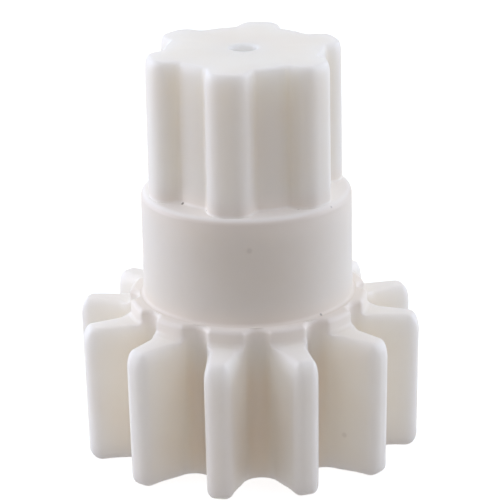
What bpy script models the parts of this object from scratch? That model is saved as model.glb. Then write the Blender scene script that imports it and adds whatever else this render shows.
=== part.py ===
"""Moulded white plastic drive gear: a 12-tooth gear, a plain collar and a 6-tooth pinion on one axis.

The real piece comes out of the mould whole. It is divided here at its own shoulders into sections
that would go together as an assembly: a hub core, with a toothed ring, a collar and a pinion keyed
onto it. +Z runs along the axis towards the pinion, and the origin is on the axis at the gear's end
face. Angles go round +Z, anticlockwise from above, from the +X axis.
"""
import math

import bmesh
import bpy
from mathutils import Vector

MM = 0.001
GAP = 0.3 * MM                      # left between neighbouring sections

# Lengths along the axis
GEAR_FACE = 12.5 * MM
NECK_LENGTH = 1.4 * MM
COLLAR_LENGTH = 9.6 * MM
PINION_LENGTH = 12.6 * MM
GEAR_TOP = GEAR_FACE
NECK_TOP = GEAR_TOP + NECK_LENGTH
COLLAR_TOP = NECK_TOP + COLLAR_LENGTH
TOTAL_HEIGHT = COLLAR_TOP + PINION_LENGTH

# Large gear
GEAR_TEETH = 12
GEAR_PHASE = math.radians(15.0)     # centre of the first tooth, so tooth spaces lie on X and Y
GEAR_TIP_RADIUS = 15.15 * MM        # at mid height
GEAR_DRAFT = 0.008                  # the ring is this fraction wider at its neck end, narrower below
GEAR_TIP_HALF = math.radians(4.05)  # half the tip land
GEAR_FLANK_FOOT = 7.7 * MM          # where the flanks of neighbouring teeth would cross
GEAR_TIP_ROUND = 1.0 * MM
GEAR_ROOT_ROUND = 1.38 * MM
NECK_RADIUS = 10.55 * MM
GEAR_UPPER_CORNER = 1.1 * MM        # turned rounding of the tooth tips, neck end
GEAR_LOWER_CORNER = 0.85 * MM      # the same, open end
NECK_CORNER = 0.45 * MM

# Collar
COLLAR_RADIUS = 9.25 * MM
COLLAR_CORNER = 0.65 * MM
COLLAR_ROOF = 2.4 * MM              # thickness of its closed end

# Pinion
PINION_TEETH = 6
PINION_PHASE = math.radians(-45.0)  # in line with every second large tooth
PINION_TIP_RADIUS = 8.75 * MM
PINION_TIP_HALF = math.radians(11.3)
PINION_ROOT_RADIUS = 7.05 * MM
PINION_ROOT_HALF = math.radians(17.8)
PINION_TIP_ROUND = 1.5 * MM
PINION_ROOT_ROUND = 0.6 * MM
PINION_CORNER = 0.65 * MM
PINION_END_WALL = 2.7 * MM          # closes the socket for the core's spigot

# Hub core
RIB_COUNT = 6
RIB_PHASE = GEAR_PHASE              # ribs run under every second large tooth
RIB_HALF_WIDTH = 0.7 * MM
RIB_RADIUS = 7.9 * MM               # the rib's outer end is the key
WELL_RADIUS = 7.3 * MM              # cored-out bore of the ring and the collar
CORE_TUBE_RADIUS = 4.9 * MM
CORE_RECESS = 0.5 * MM              # core ends stay this far inside the gear's end face
WEB_THICKNESS = 1.4 * MM
SPIGOT_RADIUS = 4.5 * MM            # corner radius of the hexagon
SPIGOT_SIDES = 6
BORE_RADIUS = 3.5 * MM
BORE_DEPTH = 19.0 * MM
END_HOLE_RADIUS = 1.1 * MM

# Facets
TURN_STEPS = 96
BORE_STEPS = 48
ROUND_STEPS = 4                     # facets in a quarter-turn rounding
SLIVER = 0.05 * MM                  # a turned blank clears the tooth tips by this much
OVERRUN = 1.0 * MM                  # how far cutters pass the faces they cut
MERGE_DISTANCE = 0.01 * MM          # joins the points of a turned shape that lie on its axis
WELD_DISTANCE = 0.001 * MM          # joins an extruded outline's caps to its sides
SMOOTH_ANGLE = math.radians(30.0)   # sharper edges than this stay crisp

WHITE_ACETAL = (0.86, 0.85, 0.83, 1.0)
ACETAL_ROUGHNESS = 0.38


# ---------------------------------------------------------------- scene and materials
def clear_scene():
    for scene_object in list(bpy.data.objects):
        bpy.data.objects.remove(scene_object, do_unlink=True)


def new_collection(name):
    collection = bpy.data.collections.new(name)
    bpy.context.scene.collection.children.link(collection)
    return collection


def acetal(name, shade):
    """White acetal; each section gets its own, a touch lighter or darker."""
    material = bpy.data.materials.new(name)
    material.use_nodes = True
    shader = material.node_tree.nodes["Principled BSDF"]
    red, green, blue, alpha = WHITE_ACETAL
    shader.inputs["Base Color"].default_value = (red * shade, green * shade, blue * shade, alpha)
    shader.inputs["Roughness"].default_value = ACETAL_ROUGHNESS
    shader.inputs["Metallic"].default_value = 0.0
    return material


# ---------------------------------------------------------------- outlines
def polar(radius, angle):
    return Vector((radius * math.cos(angle), radius * math.sin(angle)))


def rounded(corners, closed=True):
    """Points of a polyline whose corners, given as (point, radius), are replaced by tangent arcs."""
    points = []
    count = len(corners)
    for index, (corner, radius) in enumerate(corners):
        at_end = not closed and index in (0, count - 1)
        if radius == 0.0 or at_end:
            points.append(corner)
            continue
        before = (corners[index - 1][0] - corner).normalized()
        after = (corners[(index + 1) % count][0] - corner).normalized()
        half_angle = before.angle(after) / 2
        centre = corner + (before + after).normalized() * (radius / math.sin(half_angle))
        start = corner + before * (radius / math.tan(half_angle)) - centre
        turn = math.pi - 2 * half_angle
        if before.x * after.y - before.y * after.x > 0:
            turn = -turn
        steps = max(2, math.ceil(abs(turn) / (math.pi / 2) * ROUND_STEPS))
        for step in range(steps + 1):
            angle = turn * step / steps
            cosine, sine = math.cos(angle), math.sin(angle)
            arm = Vector((start.x * cosine - start.y * sine, start.x * sine + start.y * cosine))
            points.append(centre + arm)
    return points


def gear_outline():
    """Straight-flanked teeth with rounded tips; one full rounding makes each tooth space's root."""
    pitch = 2 * math.pi / GEAR_TEETH
    corners = []
    for tooth in range(GEAR_TEETH):
        middle = GEAR_PHASE + tooth * pitch
        corners.append((polar(GEAR_FLANK_FOOT, middle - pitch / 2), GEAR_ROOT_ROUND))
        corners.append((polar(GEAR_TIP_RADIUS, middle - GEAR_TIP_HALF), GEAR_TIP_ROUND))
        corners.append((polar(GEAR_TIP_RADIUS, middle), 0.0))
        corners.append((polar(GEAR_TIP_RADIUS, middle + GEAR_TIP_HALF), GEAR_TIP_ROUND))
    return rounded(corners)


def pinion_outline():
    """Broad, softly rounded teeth with a root land between them."""
    pitch = 2 * math.pi / PINION_TEETH
    corners = []
    for tooth in range(PINION_TEETH):
        middle = PINION_PHASE + tooth * pitch
        corners.append((polar(PINION_ROOT_RADIUS, middle - pitch / 2), 0.0))
        corners.append((polar(PINION_ROOT_RADIUS, middle - PINION_ROOT_HALF), PINION_ROOT_ROUND))
        corners.append((polar(PINION_TIP_RADIUS, middle - PINION_TIP_HALF), PINION_TIP_ROUND))
        corners.append((polar(PINION_TIP_RADIUS, middle), 0.0))
        corners.append((polar(PINION_TIP_RADIUS, middle + PINION_TIP_HALF), PINION_TIP_ROUND))
        corners.append((polar(PINION_ROOT_RADIUS, middle + PINION_ROOT_HALF), PINION_ROOT_ROUND))
    return rounded(corners)


def ribbed_outline(round_radius, rib_radius, rib_half_width):
    """A circle with a straight rib, or key, standing out of it at every rib position."""
    pitch = 2 * math.pi / RIB_COUNT
    foot_angle = math.asin(rib_half_width / round_radius)
    end_angle = math.asin(rib_half_width / rib_radius)
    arc_steps = TURN_STEPS // RIB_COUNT
    points = []
    for rib in range(RIB_COUNT):
        middle = RIB_PHASE + rib * pitch
        points.append(polar(rib_radius, middle - end_angle))
        points.append(polar(rib_radius, middle + end_angle))
        for step in range(arc_steps + 1):
            swing = foot_angle + (pitch - 2 * foot_angle) * step / arc_steps
            points.append(polar(round_radius, middle + swing))
    return points


def polygon_outline(sides, radius, phase):
    return [polar(radius, phase + 2 * math.pi * side / sides) for side in range(sides)]


# ---------------------------------------------------------------- solids
def shade_round(target):
    target.data.shade_smooth()
    target.data.set_sharp_from_angle(angle=SMOOTH_ANGLE)


def turned(name, collection, profile, steps=TURN_STEPS):
    """Solid of revolution; profile holds (radius, z), down the outer side from axis to axis."""
    mesh = bpy.data.meshes.new(name)
    vertices = [(radius, 0.0, z) for radius, z in profile]
    edges = [(index, index + 1) for index in range(len(profile) - 1)]
    mesh.from_pydata(vertices, edges, [])
    solid = bpy.data.objects.new(name, mesh)
    collection.objects.link(solid)
    screw = solid.modifiers.new("turn", 'SCREW')
    screw.axis = 'Z'
    screw.steps = steps
    screw.render_steps = steps
    screw.use_merge_vertices = True
    screw.merge_threshold = MERGE_DISTANCE
    screw.use_smooth_shade = True
    return solid


def cylinder(name, collection, radius, bottom, top, steps=BORE_STEPS):
    return turned(name, collection, [(0.0, top), (radius, top), (radius, bottom), (0.0, bottom)], steps)


def prism(name, collection, outline, bottom, top):
    """Flat outline on the XY plane, extruded from bottom to top and made a closed mesh."""
    curve = bpy.data.curves.new(name, 'CURVE')
    curve.dimensions = '2D'
    curve.fill_mode = 'BOTH'
    curve.extrude = (top - bottom) / 2
    spline = curve.splines.new('POLY')
    spline.points.add(len(outline) - 1)
    for control, point in zip(spline.points, outline):
        control.co = (point.x, point.y, 0.0, 1.0)
    spline.use_cyclic_u = True
    flat = bpy.data.objects.new(name + "_outline", curve)
    collection.objects.link(flat)
    flat.location.z = (top + bottom) / 2
    bpy.context.view_layer.update()

    evaluated = flat.evaluated_get(bpy.context.evaluated_depsgraph_get())
    mesh = bpy.data.meshes.new_from_object(evaluated)
    mesh.name = name
    weld(mesh)
    solid = bpy.data.objects.new(name, mesh)
    collection.objects.link(solid)
    solid.matrix_world = flat.matrix_world.copy()
    bpy.data.objects.remove(flat, do_unlink=True)
    return solid


def drafted(radius, z):
    """A large-gear radius with the mould's draft: as given at mid height, growing towards the neck."""
    return radius * (1 + GEAR_DRAFT * (2 * z / GEAR_FACE - 1))


def weld(mesh):
    work = bmesh.new()
    work.from_mesh(mesh)
    bmesh.ops.remove_doubles(work, verts=work.verts, dist=WELD_DISTANCE)
    work.to_mesh(mesh)
    work.free()


def combine(target, tool, operation):
    boolean = target.modifiers.new(operation.lower() + "_" + tool.name, 'BOOLEAN')
    boolean.operation = operation
    boolean.solver = 'EXACT'
    boolean.object = tool


def as_tools(collection):
    for tool in collection.objects:
        tool.hide_render = True
        tool.display_type = 'WIRE'


# ---------------------------------------------------------------- cutters and blanks
def gear_blank(tools):
    """Stepped turned blank that gives the toothed ring its neck and its rounded outer corners."""
    upper_radius = drafted(GEAR_TIP_RADIUS, GEAR_TOP) + SLIVER
    lower_radius = drafted(GEAR_TIP_RADIUS, 0.0) + SLIVER
    profile = rounded([
        (Vector((0.0, NECK_TOP)), 0.0),
        (Vector((NECK_RADIUS, NECK_TOP)), NECK_CORNER),
        (Vector((NECK_RADIUS, GEAR_TOP)), 0.0),
        (Vector((upper_radius, GEAR_TOP)), GEAR_UPPER_CORNER),
        (Vector((lower_radius, 0.0)), GEAR_LOWER_CORNER),
        (Vector((0.0, 0.0)), 0.0),
    ], closed=False)
    return turned("gear_blank", tools, profile)


def pinion_blank(tools):
    radius = PINION_TIP_RADIUS + SLIVER
    profile = rounded([
        (Vector((0.0, TOTAL_HEIGHT)), 0.0),
        (Vector((radius, TOTAL_HEIGHT)), PINION_CORNER),
        (Vector((radius, COLLAR_TOP + GAP)), 0.0),
        (Vector((0.0, COLLAR_TOP + GAP)), 0.0),
    ], closed=False)
    return turned("pinion_blank", tools, profile)


def core_well(tools):
    """Keyed cavity of the toothed ring and the collar, one gap larger than the core's ribs."""
    outline = ribbed_outline(WELL_RADIUS, RIB_RADIUS + GAP, RIB_HALF_WIDTH + GAP)
    return prism("core_well", tools, outline, -OVERRUN, COLLAR_TOP - COLLAR_ROOF)


def spigot_well(tools):
    """Hexagonal socket through the collar's roof and up into the pinion."""
    flat_gap = GAP / math.cos(math.pi / SPIGOT_SIDES)
    outline = polygon_outline(SPIGOT_SIDES, SPIGOT_RADIUS + flat_gap, PINION_PHASE)
    bottom = COLLAR_TOP - COLLAR_ROOF - OVERRUN
    return prism("spigot_well", tools, outline, bottom, TOTAL_HEIGHT - PINION_END_WALL)


def spindle_bore(tools):
    """Blind bore for the machine's spindle, with a drill-point roof."""
    profile = [
        (0.0, BORE_DEPTH + BORE_RADIUS / 4),
        (BORE_RADIUS, BORE_DEPTH),
        (BORE_RADIUS, -OVERRUN),
        (0.0, -OVERRUN),
    ]
    return turned("spindle_bore", tools, profile, BORE_STEPS)


# ---------------------------------------------------------------- sections
def make_large_gear(parts, tools, well):
    ring = prism("large_gear", parts, gear_outline(), -OVERRUN, NECK_TOP + OVERRUN)
    for vertex in ring.data.vertices:
        height = (ring.matrix_world @ vertex.co).z
        vertex.co.xy = vertex.co.xy * drafted(1.0, height)
    combine(ring, gear_blank(tools), 'INTERSECT')
    combine(ring, well, 'DIFFERENCE')
    ring.data.materials.append(acetal("acetal_gear", 1.0))
    shade_round(ring)


def make_collar(parts, well, socket):
    profile = rounded([
        (Vector((0.0, COLLAR_TOP)), 0.0),
        (Vector((COLLAR_RADIUS, COLLAR_TOP)), COLLAR_CORNER),
        (Vector((COLLAR_RADIUS, NECK_TOP + GAP)), 0.0),
        (Vector((0.0, NECK_TOP + GAP)), 0.0),
    ], closed=False)
    collar = turned("collar", parts, profile)
    combine(collar, well, 'DIFFERENCE')
    combine(collar, socket, 'DIFFERENCE')
    collar.data.materials.append(acetal("acetal_collar", 0.98))


def make_pinion(parts, tools, socket, end_hole):
    pinion = prism("pinion", parts, pinion_outline(), COLLAR_TOP - OVERRUN, TOTAL_HEIGHT + OVERRUN)
    combine(pinion, pinion_blank(tools), 'INTERSECT')
    combine(pinion, socket, 'DIFFERENCE')
    combine(pinion, end_hole, 'DIFFERENCE')
    pinion.data.materials.append(acetal("acetal_pinion", 0.99))
    shade_round(pinion)


def make_hub_core(parts, tools, end_hole):
    """Ribbed tube that carries the three outer sections: web at its top, hexagonal spigot above."""
    web_top = COLLAR_TOP - COLLAR_ROOF - GAP
    web_bottom = web_top - WEB_THICKNESS
    spigot_top = TOTAL_HEIGHT - PINION_END_WALL - GAP
    rib_outline = ribbed_outline(CORE_TUBE_RADIUS, RIB_RADIUS, RIB_HALF_WIDTH)
    core = prism("hub_core", parts, rib_outline, CORE_RECESS, web_bottom + WEB_THICKNESS / 2)
    web = cylinder("core_web", tools, WELL_RADIUS - GAP, web_bottom, web_top, TURN_STEPS)
    spigot_outline = polygon_outline(SPIGOT_SIDES, SPIGOT_RADIUS, PINION_PHASE)
    spigot = prism("core_spigot", tools, spigot_outline, web_bottom + WEB_THICKNESS / 4, spigot_top)
    combine(core, web, 'UNION')
    combine(core, spigot, 'UNION')
    combine(core, spindle_bore(tools), 'DIFFERENCE')
    combine(core, end_hole, 'DIFFERENCE')
    core.data.materials.append(acetal("acetal_core", 0.95))
    shade_round(core)


def main():
    clear_scene()
    parts = new_collection("drive_gear")
    tools = new_collection("cutters")
    well = core_well(tools)
    socket = spigot_well(tools)
    end_hole = cylinder("end_hole", tools, END_HOLE_RADIUS, BORE_DEPTH - OVERRUN, TOTAL_HEIGHT + OVERRUN)
    make_large_gear(parts, tools, well)
    make_collar(parts, well, socket)
    make_pinion(parts, tools, socket, end_hole)
    make_hub_core(parts, tools, end_hole)
    as_tools(tools)


main()
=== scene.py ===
"""Looks of the moulded drive gear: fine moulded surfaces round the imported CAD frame."""
import math

import bmesh
import bpy
import numpy as np
from mathutils import Matrix, Vector


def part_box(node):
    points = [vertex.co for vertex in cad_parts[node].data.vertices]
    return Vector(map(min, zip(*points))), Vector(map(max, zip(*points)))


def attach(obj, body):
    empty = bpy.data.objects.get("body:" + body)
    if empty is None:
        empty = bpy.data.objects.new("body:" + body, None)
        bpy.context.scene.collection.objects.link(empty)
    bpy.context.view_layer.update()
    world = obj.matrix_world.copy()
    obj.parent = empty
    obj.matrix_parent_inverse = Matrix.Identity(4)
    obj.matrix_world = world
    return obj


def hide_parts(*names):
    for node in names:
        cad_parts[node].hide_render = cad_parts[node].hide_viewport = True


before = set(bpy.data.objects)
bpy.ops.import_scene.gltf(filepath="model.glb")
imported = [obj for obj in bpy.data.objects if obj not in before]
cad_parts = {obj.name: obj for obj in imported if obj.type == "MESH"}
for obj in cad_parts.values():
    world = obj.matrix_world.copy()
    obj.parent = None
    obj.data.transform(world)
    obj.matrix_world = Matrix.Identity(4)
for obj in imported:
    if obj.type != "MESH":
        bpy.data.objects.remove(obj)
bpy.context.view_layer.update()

MM = 0.001

# Heights that the frame gives
NECK_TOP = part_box("large_gear")[1].z
COLLAR_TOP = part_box("collar")[1].z
END_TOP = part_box("pinion")[1].z
CORE_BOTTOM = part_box("hub_core")[0].z
COLLAR_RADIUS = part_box("collar")[1].x

# A tooth: its tip and its flank's foot, each by radius and by angle from the tooth's middle, and its
# roundings. Without a root radius, one full rounding makes the whole root of a tooth space.
GEAR_TOOTH = dict(teeth=12, phase=math.radians(15.0), tip_radius=15.14 * MM, tip_half=math.radians(4.05),
                  foot_radius=7.7 * MM, foot_half=math.radians(15.0), tip_round=1.0 * MM,
                  root_round=1.45 * MM, root_radius=None)
PINION_TOOTH = dict(teeth=6, phase=math.radians(-45.0), tip_radius=8.75 * MM, tip_half=math.radians(11.3),
                    foot_radius=7.05 * MM, foot_half=math.radians(17.8), tip_round=1.55 * MM,
                    root_round=0.6 * MM, root_radius=7.05 * MM)

# Large gear; its tooth spaces grow narrower and deeper towards the neck
GEAR_FACE = 12.5 * MM
GEAR_DRAFT = 0.008
NECK_ROOT_ROUND = 1.18 * MM
NECK_RADIUS = 10.55 * MM
WELL_RADIUS = 7.3 * MM

# Hub core and the hollows above it
TUBE_RADIUS = 4.9 * MM
RIB_REACH = 7.8 * MM
RIB_HALF_WIDTH = 0.7 * MM
RIB_COUNT = 6
BORE_RADIUS = 3.5 * MM
BORE_DEPTH = 19.0 * MM
BORE_POINT = BORE_RADIUS / 4
END_HOLE_RADIUS = 1.1 * MM
POCKET_ROOF = 19.3 * MM
COLLAR_CEILING = 21.0 * MM

# Moulded roundings of the large gear
TOOTH_TOP = 1.8 * MM            # height of the rounding at the tooth tops
TOOTH_EDGE = 0.65 * MM          # how far it draws in along the flanks
TOOTH_CORNER = 0.85 * MM        # and at the tips
TOP_SOFTNESS = 0.5              # how softly the two meet, as a share of the corner's depth
FOOT_CORNER = 0.85 * MM         # height and depth of the rounding of the teeth's lower corners
FOOT_SOFTNESS = 0.6
FOOT_EDGE = 0.25 * MM           # rounding of the lower edges, round the roots
TIP_FOOT_EDGE = 0.65 * MM       # and round the tooth tips
FOOT_EDGE_GROWS = 11.0 * MM     # radii between which the one becomes the other
FOOT_EDGE_GROWN = 13.5 * MM
NECK_EDGE = 0.45 * MM
NECK_FOOT = 0.4 * MM
NECK_FADE = 1.2 * MM            # over this distance from the neck, the tooth tops' rounding comes in
STUMP_CORNER = 0.5 * MM
NECK_TOP_TUCK = 0.2 * MM        # the neck's top face runs this far in under the collar

# Moulded roundings of the collar, the pinion and the hub core
COLLAR_EDGE = 0.6 * MM
COLLAR_FOOT = 0.3 * MM
COLLAR_FOOT_CLEAR = 1.2         # the neck's top reaches this many foot blends past the collar
PINION_EDGE = 1.1 * MM          # height of the rounding at the end face
PINION_EDGE_REACH = 0.4 * MM    # and how far it draws in
PINION_EDGE_SOFTNESS = 0.3
PINION_FOOT = 0.3 * MM
PINION_FOOT_FADES = 7.0 * MM    # radii between which the blend at its foot fades out
PINION_FOOT_FADED = 8.3 * MM
END_HOLE_LIP = 0.3 * MM
CORE_EDGE = 0.25 * MM
BORE_LIP = 0.4 * MM
RIB_BLEND = 0.5 * MM
OVERLAP = 1.2 * MM              # how far a section reaches into the one below it, out of sight

# Natural white acetal
PALE_TINT = (0.945, 0.890, 0.812)
DEEP_TINT = (0.925, 0.860, 0.770)
CLOUD_SCALE = 140.0             # of the faint mottling
CLOUD_DETAIL = 3.0
CLOUD_STOPS = (0.3, 0.7)
HAZE_SCALE = 900.0              # of the satin surface
HAZE_DETAIL = 4.0
ROUGHNESS = (0.40, 0.52)
GRAIN_STRENGTH = 0.05
GRAIN_DEPTH = 0.02 * MM
REFRACTION = 1.48
SOAK_DEPTH = 3.0 * MM           # how far light gets about under the surface
COLLAR_PAINTED_SHADE = (0.955, 0.94, 0.92)  # painted shade: how much darker the collar's copy of the material is made, in red, green and blue
INCLUSION_COLOUR = (0.09, 0.06, 0.04, 1.0)
INCLUSION_CORE = 0.3            # share of an inclusion's radius that is evenly dark

# Distances from a shoulder between which the translucency comes in
SEAM_CLEAR = 0.25 * MM
SEAM_FADE = 2.0 * MM

# Painted light on the ledge round the pinion: its colour, and the distances over which that fades out
LEDGE_PAINTED_LIGHT = (0.985, 0.95, 0.885, 1.0)
LEDGE_LIGHT_CLEAR = 0.05 * MM
LEDGE_LIGHT_FADE = 0.35 * MM

# Painted shade, darker and warmer low down near the axis in the tooth spaces: full at one radius and
# height, gone at the other
ROOT_PAINTED_SHADE = (0.98, 0.955, 0.91, 1.0)
ROOT_SHADE_RADIUS = 9.9 * MM
ROOT_SHADE_REACH = 10.7 * MM
ROOT_SHADE_FULL = 8.5 * MM
ROOT_SHADE_TOP = 12.0 * MM

# Painted light in and round the end hole: its colour, and the radius at which that has faded out
HOLE_PAINTED_LIGHT = (0.985, 0.945, 0.875, 1.0)
HOLE_LIGHT_REACH = 1.6 * MM

# Camera and stage
CAMERA_AZIMUTH = math.radians(-4.03)
CAMERA_ELEVATION = math.radians(19.87)
CAMERA_DISTANCE = 250.85 * MM
CAMERA_LENS = 204.7
CAMERA_ROLL = math.radians(1.08)
CAMERA_NEAR = 10.0 * MM
AIM_RIGHT = 0.225 * MM
AIM_HEIGHT = 17.54 * MM
FLOOR_RADIUS = 2.0
FLOOR_SIDES = 96
FLOOR_GREY = (0.5, 0.5, 0.5, 1.0)
FLOOR_ROUGHNESS = 0.9
FLOOR_GLOW = 0.8
STUDIO_TINT = (1.000, 0.943, 0.965, 1.0)
STUDIO_STRENGTH = 0.359

# Points along the curves
ARC_STEPS = 12
LAND_STEPS = 6
FLANK_STEPS = 13
FLOOR_STEPS = 8
BLEND_STEPS = 8
ROUND_LEVELS = 12
NECK_STEPS = 6
LIP_STEPS = 6
RIB_END_STEPS = 4
RIB_SIDE_STEPS = 7
TUBE_STEPS = 10
MOUTH_STEPS = 4
SHOULDER_STEPS = 4
BARREL_SHARES = (0.25, 0.5, 0.75)   # levels along a straight stretch
TURNED_POINTS = 288

# Mesh clean-up
MERGE_DISTANCE = 0.002 * MM
SHORTEST_EDGE = 0.001 * MM
SHARP_ANGLE = math.radians(48)


# ---------------------------------------------------------------- outlines
def unit(angle):
    return np.array([math.cos(angle), math.sin(angle)])


def angle_of(vector):
    return math.atan2(vector[1], vector[0])


def arc(centre, radius, start, end, steps, side=1.0):
    """Points of an arc with their outward normals; side is -1 where the material is outside it."""
    normals = np.array([unit(angle) for angle in np.linspace(start, end, steps + 1)])
    return centre + side * radius * normals, normals


def along(line_start, direction, distance):
    """Point on a line, on its far side, at a given distance from the axis."""
    forward = float(line_start @ direction)
    reach = math.sqrt(forward ** 2 - float(line_start @ line_start) + distance ** 2)
    return line_start + direction * (reach - forward)


def half_tooth(tooth):
    """From the middle of a tooth lying on +X to the middle of the next space: points and normals."""
    half_pitch = math.pi / tooth["teeth"]
    tip = tooth["tip_radius"] * unit(tooth["tip_half"])
    foot = tooth["foot_radius"] * unit(tooth["foot_half"])
    rise = (tip - foot) / np.linalg.norm(tip - foot)
    outward = np.array([-rise[1], rise[0]])
    tip_round, root_round = tooth["tip_round"], tooth["root_round"]
    origin = np.zeros(2)

    tip_centre = along(foot - tip_round * outward, rise, tooth["tip_radius"] - tip_round)
    land = arc(origin, tooth["tip_radius"], 0.0, angle_of(tip_centre), LAND_STEPS)
    corner = arc(tip_centre, tip_round, angle_of(tip_centre), angle_of(outward), ARC_STEPS)
    if tooth["root_radius"] is None:
        middle = unit(half_pitch)
        crossing = abs(middle[0] * rise[1] - middle[1] * rise[0])
        root_centre = foot + middle * (root_round / crossing)
        root = arc(root_centre, root_round, angle_of(outward), half_pitch, ARC_STEPS, side=-1.0)
        floor = (np.zeros((0, 2)), np.zeros((0, 2)))
    else:
        root_centre = along(foot + root_round * outward, rise, tooth["root_radius"] + root_round)
        end = angle_of(root_centre)
        root = arc(root_centre, root_round, angle_of(outward), end, ARC_STEPS, side=-1.0)
        floor = arc(origin, tooth["root_radius"], end, half_pitch, FLOOR_STEPS)
    share = np.linspace(0.0, 1.0, FLANK_STEPS + 1)[1:-1, None]
    flank_points = corner[0][-1] * (1 - share) + root[0][0] * share
    flank = (flank_points, np.repeat(outward[None], len(flank_points), axis=0))
    parts = [land, (corner[0][1:], corner[1][1:]), flank, root, (floor[0][1:], floor[1][1:])]
    all_points, all_normals = zip(*parts)
    return np.concatenate(all_points), np.concatenate(all_normals)


class Outline:
    """Closed toothed outline whose points know their outward normals, so it can be offset."""

    def __init__(self, tooth):
        self.repeat_half(*half_tooth(tooth), tooth["teeth"], tooth["phase"])

    def repeat_half(self, points, normals, count, phase):
        """Mirrors half a tooth, lying on +X, and sets the whole one out round the axis."""
        flip = np.array([1.0, -1.0])
        points = np.concatenate([(points * flip)[:0:-1], points[:-1]])
        normals = np.concatenate([(normals * flip)[:0:-1], normals[:-1]])
        all_points, all_normals = [], []
        for index in range(count):
            angle = phase + 2 * math.pi * index / count
            turn = np.array([[math.cos(angle), math.sin(angle)], [-math.sin(angle), math.cos(angle)]])
            all_points.append(points @ turn)
            all_normals.append(normals @ turn)
        self.points = np.concatenate(all_points)
        self.normals = np.concatenate(all_normals)
        self.radii = np.linalg.norm(self.points, axis=1)

    def ring(self, z, inset=0.0, limit=None, soften=0.0, scale=1.0, least=0.0):
        """One level: inset from the outline, then held inside a turned radius with a soft corner.

        No point comes nearer to the axis than least.
        """
        moved = self.points * scale - self.normals * np.reshape(inset, (-1, 1))
        if least > 0.0:
            radii = np.linalg.norm(moved, axis=1)
            moved = moved * (np.maximum(radii, least) / radii)[:, None]
        if limit is not None:
            radii = np.linalg.norm(moved, axis=1)
            moved = moved * (soft_minimum(radii, limit, soften) / radii)[:, None]
        return np.column_stack([moved, np.full(len(moved), z)])

    def circle(self, z, radius):
        """One level with the outline's points drawn to a circle."""
        moved = self.points * (radius / self.radii)[:, None]
        return np.column_stack([moved, np.full(len(moved), z)])

    def towards(self, other, share):
        """An outline part of the way from this one to another with as many points."""
        mixed = object.__new__(Outline)
        mixed.points = self.points * (1 - share) + other.points * share
        mixed.normals = self.normals * (1 - share) + other.normals * share
        mixed.radii = np.linalg.norm(mixed.points, axis=1)
        return mixed


def soft_minimum(values, limit, soften):
    """The lesser of values and limit, with a soft passage of the width soften between them."""
    if soften <= 0.0:
        return np.minimum(values, limit)
    mix = np.clip(0.5 + 0.5 * (limit - values) / soften, 0.0, 1.0)
    return limit * (1 - mix) + values * mix - soften * mix * (1 - mix)


def smooth_step(low, high, values):
    share = np.clip((values - low) / (high - low), 0.0, 1.0)
    return share * share * (3 - 2 * share)


def rounding(radius, depth):
    """How far a rounded edge has drawn in, at a depth below the face it rounds into."""
    if depth >= radius:
        return 0.0
    return radius - math.sqrt(max(0.0, radius ** 2 - (radius - depth) ** 2))


def depths(radius):
    """Depths below a face that sample a rounded edge evenly, from its foot to the face."""
    return [radius * (1 - math.sin(math.pi / 2 * step / ROUND_LEVELS)) for step in range(ROUND_LEVELS + 1)]


def blend(radius, steps):
    """A quarter turn between two faces at right angles: its points' distances from each of them."""
    swings = [math.pi / 2 * step / steps for step in range(steps + 1)]
    return [(radius * (1 - math.sin(swing)), radius * (1 - math.cos(swing))) for swing in swings]


# ---------------------------------------------------------------- meshes
def loft(name, rings):
    """Closed skin through rings that go up the outside and down the inside, and back to the first."""
    count = len(rings[0])
    vertices = np.concatenate(rings)
    faces = []
    for level in range(len(rings)):
        low, high = level * count, (level + 1) % len(rings) * count
        for index in range(count):
            after = (index + 1) % count
            faces.append((low + index, low + after, high + after, high + index))
    mesh = bpy.data.meshes.new(name)
    mesh.from_pydata(vertices.tolist(), [], faces)
    work = bmesh.new()
    work.from_mesh(mesh)
    bmesh.ops.remove_doubles(work, verts=work.verts, dist=MERGE_DISTANCE)
    bmesh.ops.dissolve_degenerate(work, edges=work.edges, dist=SHORTEST_EDGE)
    bmesh.ops.recalc_face_normals(work, faces=work.faces)
    work.to_mesh(mesh)
    work.free()
    mesh.shade_smooth()
    mesh.set_sharp_from_angle(angle=SHARP_ANGLE)
    piece = bpy.data.objects.new(name, mesh)
    bpy.context.scene.collection.objects.link(piece)
    return piece


def turned_rings(profile):
    """Rings of a turned shape; profile holds (radius, z), up the outside and down the inside."""
    angles = np.linspace(0.0, 2 * math.pi, TURNED_POINTS, endpoint=False)
    around = np.column_stack([np.cos(angles), np.sin(angles)])
    return [np.column_stack([around * radius, np.full(TURNED_POINTS, z)]) for radius, z in profile]


def drafted(z):
    """The mould's draft: how much wider than at mid height the large gear is at a height."""
    return 1 + GEAR_DRAFT * (2 * z / GEAR_FACE - 1)


def gear_body():
    """Toothed ring: rounded feet, drafted flanks, soft tooth tops, and the neck with its stumps."""
    open_end = Outline(GEAR_TOOTH)
    neck_end = Outline(dict(GEAR_TOOTH, root_round=NECK_ROOT_ROUND))
    rings = [open_end.circle(0.0, WELL_RADIUS + FOOT_EDGE)]
    rings += tooth_feet(open_end)
    for share in BARREL_SHARES:
        z = FOOT_CORNER + (GEAR_FACE - TOOTH_TOP - FOOT_CORNER) * share
        rings.append(open_end.towards(neck_end, share).ring(z, scale=drafted(z)))
    # The edge rounding of the tooth tops fades out where the teeth run into the neck
    fade = smooth_step(NECK_RADIUS, NECK_RADIUS + NECK_FADE, neck_end.radii)
    rings += tooth_tops(neck_end, fade)
    rings += neck(neck_end, fade)
    rings.append(neck_end.circle(NECK_TOP, WELL_RADIUS))
    rings.append(neck_end.circle(FOOT_EDGE, WELL_RADIUS))
    for reach, rise in blend(FOOT_EDGE, MOUTH_STEPS)[1:-1]:
        rings.append(neck_end.circle(reach, WELL_RADIUS + rise))
    return loft("gear_body", rings)


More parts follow.
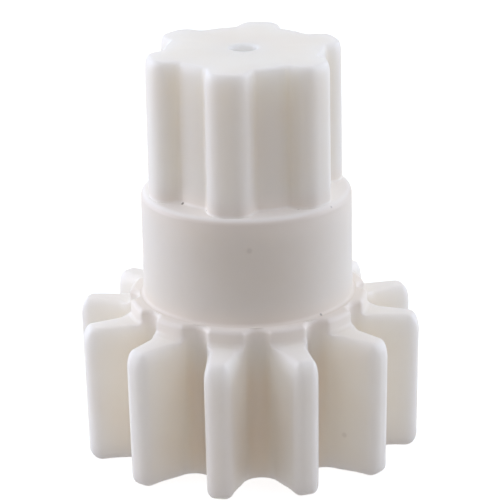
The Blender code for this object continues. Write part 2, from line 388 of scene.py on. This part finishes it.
def tooth_feet(outline):
    """From the end face up: the lower corners of the teeth and the lower edges between them."""
    grown = smooth_step(FOOT_EDGE_GROWS, FOOT_EDGE_GROWN, outline.radii)
    edge = FOOT_EDGE + (TIP_FOOT_EDGE - FOOT_EDGE) * grown
    rings = []
    for z in reversed(depths(FOOT_CORNER)):
        drop = rounding(FOOT_CORNER, z)
        limit = GEAR_TOOTH["tip_radius"] * drafted(z) - drop
        rings.append(outline.ring(z, edge * drop / FOOT_CORNER, limit, FOOT_SOFTNESS * drop, drafted(z)))
    return rings


def tooth_tops(outline, fade):
    """The tall rounding of the tooth tops, then in along their top faces to the foot of the neck."""
    tip = GEAR_TOOTH["tip_radius"]
    rings = []
    for depth in depths(TOOTH_TOP):
        z = GEAR_FACE - depth
        share = rounding(TOOTH_TOP, depth) / TOOTH_TOP
        drop = TOOTH_CORNER * share
        limit = tip * drafted(z) - drop
        rings.append(outline.ring(z, TOOTH_EDGE * share * fade, limit, TOP_SOFTNESS * drop, drafted(z)))
    top_limit = tip * drafted(GEAR_FACE) - TOOTH_CORNER
    for step in range(1, SHOULDER_STEPS + 1):
        limit = top_limit + (NECK_RADIUS + NECK_FOOT - top_limit) * step / SHOULDER_STEPS
        rings.append(outline.ring(GEAR_FACE, TOOTH_EDGE * fade, limit, scale=drafted(GEAR_FACE)))
    return rings


def neck(outline, fade):
    """The stumps of the teeth: a blend at the foot, a rounded upper edge, and the top in to the collar."""
    scale = drafted(GEAR_FACE)
    rings = []
    for step, (reach, rise) in enumerate(blend(NECK_FOOT, NECK_STEPS)[1:], start=1):
        corner = STUMP_CORNER * step / NECK_STEPS
        rings.append(outline.ring(GEAR_FACE + rise, TOOTH_EDGE * fade, NECK_RADIUS + reach, corner, scale))
    least = COLLAR_RADIUS + COLLAR_FOOT_CLEAR * COLLAR_FOOT
    for depth in depths(NECK_EDGE):
        drop = rounding(NECK_EDGE, depth)
        inset = np.maximum(drop, TOOTH_EDGE * fade)
        rings.append(outline.ring(NECK_TOP - depth, inset, NECK_RADIUS - drop, STUMP_CORNER, scale, least))
    rings.append(outline.circle(NECK_TOP, COLLAR_RADIUS - NECK_TOP_TUCK))
    return rings


def collar_body():
    """Plain journal with a small blend at its foot and a rounded upper edge."""
    profile = [(COLLAR_RADIUS + COLLAR_FOOT, NECK_TOP - OVERLAP)]
    for reach, rise in blend(COLLAR_FOOT, BLEND_STEPS):
        profile.append((COLLAR_RADIUS + reach, NECK_TOP + rise))
    for depth in depths(COLLAR_EDGE):
        profile.append((COLLAR_RADIUS - rounding(COLLAR_EDGE, depth), COLLAR_TOP - depth))
    profile.append((END_HOLE_RADIUS, COLLAR_TOP))
    profile.append((END_HOLE_RADIUS, COLLAR_CEILING))
    profile.append((WELL_RADIUS, COLLAR_CEILING))
    profile.append((WELL_RADIUS, NECK_TOP - OVERLAP))
    return loft("collar_body", turned_rings(profile))


def pinion_body():
    """Six soft teeth, blended into the collar's ledge at the foot and rounded at the end face."""
    outline = Outline(PINION_TOOTH)
    foot = COLLAR_TOP - OVERLAP
    fade = 1 - smooth_step(PINION_FOOT_FADES, PINION_FOOT_FADED, outline.radii)
    rings = [outline.circle(foot, END_HOLE_RADIUS), outline.ring(foot, -PINION_FOOT * fade)]
    for reach, rise in blend(PINION_FOOT, BLEND_STEPS):
        rings.append(outline.ring(COLLAR_TOP + rise, -reach * fade))
    for share in BARREL_SHARES:
        rings.append(outline.ring(COLLAR_TOP + (END_TOP - COLLAR_TOP) * share))
    for depth in depths(PINION_EDGE):
        drop = rounding(PINION_EDGE, depth) * PINION_EDGE_REACH / PINION_EDGE
        limit = PINION_TOOTH["tip_radius"] - drop
        rings.append(outline.ring(END_TOP - depth, drop, limit, PINION_EDGE_SOFTNESS * drop))
    for reach, rise in blend(END_HOLE_LIP, LIP_STEPS):
        rings.append(outline.circle(END_TOP - rise, END_HOLE_RADIUS + reach))
    return loft("pinion_body", rings)


class RibbedOutline(Outline):
    """A tube with straight ribs, each blended into it at the foot."""

    def __init__(self):
        half_pitch = math.pi / RIB_COUNT
        x = math.sqrt((TUBE_RADIUS + RIB_BLEND) ** 2 - (RIB_HALF_WIDTH + RIB_BLEND) ** 2)
        centre = np.array([x, RIB_HALF_WIDTH + RIB_BLEND])
        end_angle = angle_of(centre)
        end = np.array([[RIB_REACH, y] for y in np.linspace(0.0, RIB_HALF_WIDTH, RIB_END_STEPS + 1)])
        side = np.array([[r, RIB_HALF_WIDTH] for r in np.linspace(RIB_REACH, x, RIB_SIDE_STEPS + 1)[1:-1]])
        foot = arc(centre, RIB_BLEND, math.pi / 2, end_angle, BLEND_STEPS, side=-1.0)
        tube = arc(np.zeros(2), TUBE_RADIUS, end_angle, half_pitch, TUBE_STEPS)
        end_normals = np.tile([1.0, 0.0], (RIB_END_STEPS, 1))
        corner_normal = unit(math.pi / 4)[None]
        side_normals = np.tile([0.0, 1.0], (len(side), 1))
        points = np.concatenate([end, side, foot[0], tube[0][1:]])
        normals = np.concatenate([end_normals, corner_normal, side_normals, foot[1], tube[1][1:]])
        self.repeat_half(points, normals, RIB_COUNT, GEAR_TOOTH["phase"])


def core_body():
    """Ribbed tube under the collar's roof, with the spindle bore and the way through to the end hole."""
    outline = RibbedOutline()
    rings = [outline.circle(CORE_BOTTOM, BORE_RADIUS + BORE_LIP)]
    for depth in reversed(depths(CORE_EDGE)):
        rings.append(outline.ring(CORE_BOTTOM + depth, rounding(CORE_EDGE, depth)))
    rings.append(outline.ring((CORE_BOTTOM + POCKET_ROOF) / 2))
    rings.append(outline.ring(POCKET_ROOF))
    rings.append(outline.circle(POCKET_ROOF, RIB_REACH))
    rings.append(outline.circle(COLLAR_CEILING, RIB_REACH))
    rings.append(outline.circle(COLLAR_CEILING, END_HOLE_RADIUS))
    rings.append(outline.circle(BORE_DEPTH + BORE_POINT, END_HOLE_RADIUS))
    rings.append(outline.circle(BORE_DEPTH, BORE_RADIUS))
    rings.append(outline.circle(CORE_BOTTOM + BORE_LIP, BORE_RADIUS))
    return loft("core_body", rings)


# ---------------------------------------------------------------- material
def node(tree, kind, **settings):
    made = tree.nodes.new(kind)
    for key, value in settings.items():
        setattr(made, key, value)
    return made


def map_smoothly(tree, value, zero_at, one_at, most=1.0):
    """0 at one value and most at the other, with a smooth way between them."""
    way = node(tree, "ShaderNodeMapRange", interpolation_type='SMOOTHSTEP')
    way.inputs["From Min"].default_value = zero_at
    way.inputs["From Max"].default_value = one_at
    way.inputs["To Max"].default_value = most
    tree.links.new(value, way.inputs["Value"])
    return way.outputs["Result"]


def multiply(tree, first, second):
    product = node(tree, "ShaderNodeMath", operation='MULTIPLY')
    tree.links.new(first, product.inputs[0])
    tree.links.new(second, product.inputs[1])
    return product.outputs["Value"]


def mix_in(tree, share, colour, other, blend_type='MIX'):
    """The colour, with another mixed in or multiplied onto it by a share from 0 to 1."""
    mix = node(tree, "ShaderNodeMixRGB", blend_type=blend_type)
    mix.inputs["Color2"].default_value = other
    tree.links.new(share, mix.inputs["Fac"])
    tree.links.new(colour, mix.inputs["Color1"])
    return mix.outputs["Color"]


def noise(tree, position, scale, detail):
    texture = node(tree, "ShaderNodeTexNoise")
    texture.inputs["Scale"].default_value = scale
    texture.inputs["Detail"].default_value = detail
    tree.links.new(position, texture.inputs["Vector"])
    return texture.outputs["Fac"]


def distance_from_height(tree, height, level):
    apart = node(tree, "ShaderNodeMath", operation='SUBTRACT')
    apart.inputs[1].default_value = level
    tree.links.new(height, apart.inputs[0])
    distance = node(tree, "ShaderNodeMath", operation='ABSOLUTE')
    tree.links.new(apart.outputs["Value"], distance.inputs[0])
    return distance.outputs["Value"]


def distance_from_axis(tree, position):
    flat = node(tree, "ShaderNodeVectorMath", operation='MULTIPLY')
    flat.inputs[1].default_value = (1.0, 1.0, 0.0)
    tree.links.new(position, flat.inputs[0])
    radius = node(tree, "ShaderNodeVectorMath", operation='LENGTH')
    tree.links.new(flat.outputs["Vector"], radius.inputs[0])
    return radius.outputs["Value"]


def soaking(tree, height):
    """How far light soaks in: fully, but not next to a shoulder.

    It can't cross from one section to the next, so without this the shoulders would show as seams.
    """
    from_neck = distance_from_height(tree, height, NECK_TOP)
    from_collar = distance_from_height(tree, height, COLLAR_TOP)
    return multiply(tree, map_smoothly(tree, from_neck, SEAM_CLEAR, SEAM_FADE),
                    map_smoothly(tree, from_collar, SEAM_CLEAR, SEAM_FADE))


def mottled(tree, position, depth):
    """The plastic's own colour, faintly clouded; depth holds three factors, in red, green and blue, that
    darken it as painted shade where they are below 1.
    """
    tint = node(tree, "ShaderNodeValToRGB")
    for stop, place, colour in zip(tint.color_ramp.elements, CLOUD_STOPS, (DEEP_TINT, PALE_TINT)):
        stop.position = place
        stop.color = [part * share for part, share in zip(colour, depth)] + [1.0]
    tree.links.new(noise(tree, position, CLOUD_SCALE, CLOUD_DETAIL), tint.inputs["Fac"])
    return tint.outputs["Color"]


def painted_light_at_ledge(tree, height, colour):
    """Painted light on the ledge round the pinion: makes up for the light that doesn't soak in there."""
    away = distance_from_height(tree, height, COLLAR_TOP)
    return mix_in(tree, map_smoothly(tree, away, LEDGE_LIGHT_FADE, LEDGE_LIGHT_CLEAR), colour, LEDGE_PAINTED_LIGHT)


def painted_shade_at_roots(tree, radius, height, colour):
    """The colour, darker and warmer in the large gear's tooth spaces and recess: painted shade."""
    near = map_smoothly(tree, radius, ROOT_SHADE_REACH, ROOT_SHADE_RADIUS)
    low = map_smoothly(tree, height, ROOT_SHADE_TOP, ROOT_SHADE_FULL)
    return mix_in(tree, multiply(tree, near, low), colour, ROOT_PAINTED_SHADE, 'MULTIPLY')


def painted_light_at_hole(tree, radius, colour):
    """The colour, lighter in and round the end hole: painted light, standing in for light that comes
    through from all round.
    """
    near = map_smoothly(tree, radius, HOLE_LIGHT_REACH, END_HOLE_RADIUS)
    return mix_in(tree, near, colour, HOLE_PAINTED_LIGHT)


def speckled(tree, position, colour, centre, size, strength):
    """The colour with one small dark inclusion at centre, soft at its edge."""
    apart = node(tree, "ShaderNodeVectorMath", operation='DISTANCE')
    apart.inputs[1].default_value = centre
    tree.links.new(position, apart.inputs[0])
    cover = map_smoothly(tree, apart.outputs["Value"], size, INCLUSION_CORE * size, strength)
    return mix_in(tree, cover, colour, INCLUSION_COLOUR)


def acetal(name, depth, specks):
    """Natural white acetal as moulded: satin, slightly translucent, faintly mottled."""
    material = bpy.data.materials.new(name)
    material.use_nodes = True
    tree = material.node_tree
    shader = tree.nodes["Principled BSDF"]
    shader.inputs["Metallic"].default_value = 0.0
    shader.inputs["IOR"].default_value = REFRACTION
    shader.inputs["Subsurface Radius"].default_value = (1.0, 1.0, 1.0)
    shader.inputs["Subsurface Scale"].default_value = SOAK_DEPTH

    position = node(tree, "ShaderNodeTexCoord").outputs["Object"]
    parts = node(tree, "ShaderNodeSeparateXYZ")
    tree.links.new(position, parts.inputs["Vector"])
    height = parts.outputs["Z"]
    radius = distance_from_axis(tree, position)
    tree.links.new(soaking(tree, height), shader.inputs["Subsurface Weight"])

    # depth darkens the collar's copy of the material with painted shade
    colour = mottled(tree, position, depth)
    # painted light on the ledge round the pinion
    colour = painted_light_at_ledge(tree, height, colour)
    # painted shade, darker and warmer, in the large gear's tooth spaces and recess
    colour = painted_shade_at_roots(tree, radius, height, colour)
    # painted light in and round the end hole
    colour = painted_light_at_hole(tree, radius, colour)
    for centre, size, strength in specks:
        colour = speckled(tree, position, colour, centre, size, strength)
    tree.links.new(colour, shader.inputs["Base Color"])

    haze = noise(tree, position, HAZE_SCALE, HAZE_DETAIL)
    satin = node(tree, "ShaderNodeMapRange")
    satin.inputs["To Min"].default_value = ROUGHNESS[0]
    satin.inputs["To Max"].default_value = ROUGHNESS[1]
    tree.links.new(haze, satin.inputs["Value"])
    tree.links.new(satin.outputs["Result"], shader.inputs["Roughness"])

    grain = node(tree, "ShaderNodeBump")
    grain.inputs["Strength"].default_value = GRAIN_STRENGTH
    grain.inputs["Distance"].default_value = GRAIN_DEPTH
    tree.links.new(haze, grain.inputs["Height"])
    tree.links.new(grain.outputs["Normal"], shader.inputs["Normal"])
    return material


def dress(piece, cad_node, depth=(1.0, 1.0, 1.0), specks=()):
    piece.data.materials.append(acetal("acetal_" + piece.name, depth, specks))
    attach(piece, "root")
    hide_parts(cad_node)


def on_surface(azimuth, radius, height):
    """A place by its angle to the right of the front, its distance from the axis and its height, in mm."""
    turn = CAMERA_AZIMUTH + math.radians(azimuth)
    return Vector((radius * math.sin(turn), -radius * math.cos(turn), height)) * MM


# Dark inclusions in the plastic: place, radius and how strongly each shows
GEAR_SPECKS = [(on_surface(42, 12.1, 3.5), 0.35 * MM, 0.12)]
COLLAR_SPECKS = [
    (on_surface(1, 9.25, 20.8), 0.35 * MM, 0.12),
    (on_surface(34, 7.9, 23.5), 0.15 * MM, 0.3),
    (on_surface(53, 9.1, 23.3), 0.15 * MM, 0.3),
    (on_surface(42, 9.35, 14.0), 0.18 * MM, 0.5),
]
PINION_SPECKS = [
    (on_surface(-50, 7.2, 23.6), 0.2 * MM, 0.8),
    (on_surface(-27, 7.5, 23.6), 0.13 * MM, 0.5),
]

dress(gear_body(), "large_gear", specks=GEAR_SPECKS)
# the collar gets a darker copy of the material: painted shade
dress(collar_body(), "collar", depth=COLLAR_PAINTED_SHADE, specks=COLLAR_SPECKS)
dress(pinion_body(), "pinion", specks=PINION_SPECKS)
dress(core_body(), "hub_core")


# ---------------------------------------------------------------- stage, light and camera
def from_camera(azimuth, elevation, distance):
    """A place round the object; azimuth 0 is on the camera's side, and positive is to its right."""
    turn = CAMERA_AZIMUTH + math.radians(azimuth)
    lift = math.radians(elevation)
    back = Vector((math.sin(turn) * math.cos(lift), -math.cos(turn) * math.cos(lift), math.sin(lift)))
    return back * distance


def add_floor():
    mesh = bpy.data.meshes.new("floor")
    work = bmesh.new()
    bmesh.ops.create_circle(work, cap_ends=True, segments=FLOOR_SIDES, radius=FLOOR_RADIUS)
    work.to_mesh(mesh)
    work.free()
    floor = bpy.data.objects.new("floor", mesh)
    bpy.context.scene.collection.objects.link(floor)
    material = bpy.data.materials.new("floor_white")
    material.use_nodes = True
    shader = material.node_tree.nodes["Principled BSDF"]
    shader.inputs["Base Color"].default_value = FLOOR_GREY
    shader.inputs["Roughness"].default_value = FLOOR_ROUGHNESS
    shader.inputs["Emission Color"].default_value = (1.0, 1.0, 1.0, 1.0)
    shader.inputs["Emission Strength"].default_value = FLOOR_GLOW
    mesh.materials.append(material)
    floor.visible_diffuse = False


# Soft discs round the part, aimed at its middle
LAMPS = [
    # name, azimuth and elevation in degrees, distance and size in metres, watts, colour
    ("back_high", 180, 65, 0.6, 0.4, 0.958, (0.906, 0.944, 1.0)),
    ("back_left", -140, 20, 0.55, 0.4, 0.495, (0.583, 0.74, 1.0)),
    ("left_behind", -110, 12, 0.5, 0.3, 0.799, (0.758, 0.844, 1.0)),
    ("right_behind", 110, 12, 0.5, 0.3, 0.920, (0.72, 0.839, 1.0)),
    ("left_high", -75, 50, 0.5, 0.3, 0.379, (0.782, 0.856, 1.0)),
    ("right_high", 75, 50, 0.5, 0.3, 0.216, (0.695, 0.82, 1.0)),
    ("left_low", -90, 4, 0.5, 0.3, 0.687, (0.899, 0.873, 1.0)),
    ("right_low", 90, 4, 0.5, 0.3, 0.332, (0.868, 0.841, 1.0)),
    ("right_top", 50, 60, 0.5, 0.3, 0.222, (0.847, 0.853, 1.0)),
]


def add_lamps():
    aim = Vector((0, 0, AIM_HEIGHT))
    for name, azimuth, elevation, distance, size, power, colour in LAMPS:
        data = bpy.data.lights.new(name, 'AREA')
        data.shape = 'DISK'
        data.size = size
        data.energy = power
        data.color = colour
        lamp = bpy.data.objects.new(name, data)
        bpy.context.scene.collection.objects.link(lamp)
        place = from_camera(azimuth, elevation, distance)
        lamp.location = aim + place
        lamp.rotation_mode = 'QUATERNION'
        lamp.rotation_quaternion = place.to_track_quat('Z', 'Y')
        lamp.visible_camera = False


def add_world():
    world = bpy.data.worlds.new("studio")
    bpy.context.scene.world = world
    world.use_nodes = True
    background = world.node_tree.nodes["Background"]
    background.inputs["Color"].default_value = STUDIO_TINT
    background.inputs["Strength"].default_value = STUDIO_STRENGTH


def add_camera():
    data = bpy.data.cameras.new("camera")
    data.lens = CAMERA_LENS
    data.clip_start = CAMERA_NEAR
    camera = bpy.data.objects.new("camera", data)
    bpy.context.scene.collection.objects.link(camera)
    right = Vector((math.cos(CAMERA_AZIMUTH), math.sin(CAMERA_AZIMUTH), 0.0))
    aim = right * AIM_RIGHT + Vector((0.0, 0.0, AIM_HEIGHT))
    back = from_camera(0.0, math.degrees(CAMERA_ELEVATION), 1.0)
    up = back.cross(right)
    turn = Matrix((right, up, back)).transposed() @ Matrix.Rotation(-CAMERA_ROLL, 3, 'Z')
    camera.matrix_world = Matrix.LocRotScale(aim + back * CAMERA_DISTANCE, turn.to_quaternion(), None)
    bpy.context.scene.camera = camera


add_floor()
add_lamps()
add_world()
add_camera()
bpy.context.scene.view_settings.view_transform = 'Standard'
